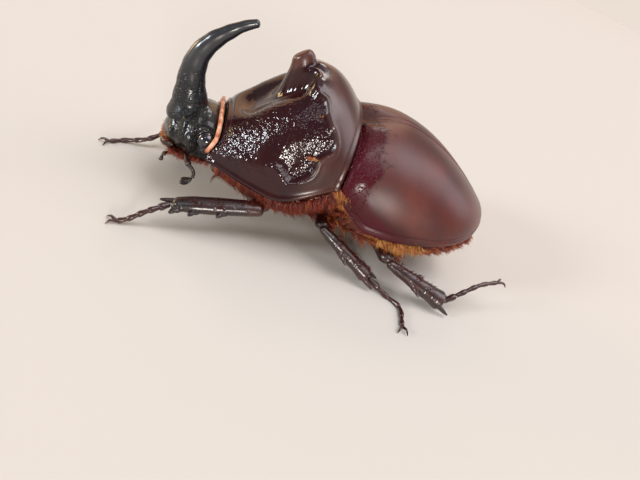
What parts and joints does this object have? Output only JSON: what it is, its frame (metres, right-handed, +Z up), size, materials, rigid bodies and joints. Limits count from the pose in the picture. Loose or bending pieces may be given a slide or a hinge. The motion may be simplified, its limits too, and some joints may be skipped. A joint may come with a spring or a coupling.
{
  "type": "rhinoceros beetle",
  "caption": "Life-size still model of a male European rhinoceros beetle standing on its feet, horn raised and a hind foot lifted.",
  "frame": {"origin": "middle of the bounding box's footprint, on the floor", "axes": "+X from head to tail along the body, +Z up off the floor, +Y to the beetle's right"},
  "size_m": [0.0516, 0.0362, 0.0207],
  "materials": {
    "pronotum_cuticle": "dark chestnut beetle cuticle, smooth and polished",
    "elytron_cuticle": "dark mahogany beetle cuticle, glossy and finely punctured",
    "head_cuticle": "black beetle cuticle, glossy and coarsely punctured",
    "membrane": "soft salmon-coloured neck membrane",
    "mouthpart_cuticle": "dark brown cuticle",
    "antenna_club": "grey-brown leaves of the antenna's club",
    "eye": "black polished compound eye",
    "belly_cuticle": "red-brown beetle cuticle, satin",
    "leg_cuticle": "black to dark brown beetle cuticle, glossy",
    "foot_cuticle": "dark red-brown beetle cuticle, glossy",
    "hair": "red-gold bristles"
  },
  "bodies": {
    "root": {"pronotum": "pronotum_cuticle", "scutellum": "pronotum_cuticle", "pronotum_rim": "membrane", "head": "head_cuticle", "horn": "head_cuticle", "mouthparts": "mouthpart_cuticle", "elytron_left": "elytron_cuticle", "elytron_right": "elytron_cuticle", "eye_left": "eye", "antenna_stem_left": "mouthpart_cuticle", "antenna_club_left": "antenna_club", "palp_left": "mouthpart_cuticle", "eye_right": "eye", "antenna_stem_right": "mouthpart_cuticle", "antenna_club_right": "antenna_club", "palp_right": "mouthpart_cuticle", "prosternum": "belly_cuticle", "sternum": "belly_cuticle", "abdomen": "belly_cuticle", "pygidium": "belly_cuticle", "coxa_left_fore": "belly_cuticle", "femur_left_fore": "leg_cuticle", "tibia_left_fore": "leg_cuticle", "tarsus_left_fore": "foot_cuticle", "claws_left_fore": "foot_cuticle", "coxa_left_middle": "belly_cuticle", "femur_left_middle": "leg_cuticle", "tibia_left_middle": "leg_cuticle", "tarsus_left_middle": "foot_cuticle", "claws_left_middle": "foot_cuticle", "coxa_left_hind": "belly_cuticle", "femur_left_hind": "leg_cuticle", "tibia_left_hind": "leg_cuticle", "tarsus_left_hind": "foot_cuticle", "claws_left_hind": "foot_cuticle", "coxa_right_fore": "belly_cuticle", "femur_right_fore": "leg_cuticle", "tibia_right_fore": "leg_cuticle", "tarsus_right_fore": "foot_cuticle", "claws_right_fore": "foot_cuticle", "coxa_right_middle": "belly_cuticle", "femur_right_middle": "leg_cuticle", "tibia_right_middle": "leg_cuticle", "tarsus_right_middle": "foot_cuticle", "claws_right_middle": "foot_cuticle", "coxa_right_hind": "belly_cuticle", "femur_right_hind": "leg_cuticle", "tibia_right_hind": "leg_cuticle", "tarsus_right_hind": "foot_cuticle", "claws_right_hind": "foot_cuticle"}
  },
  "joints": []
}
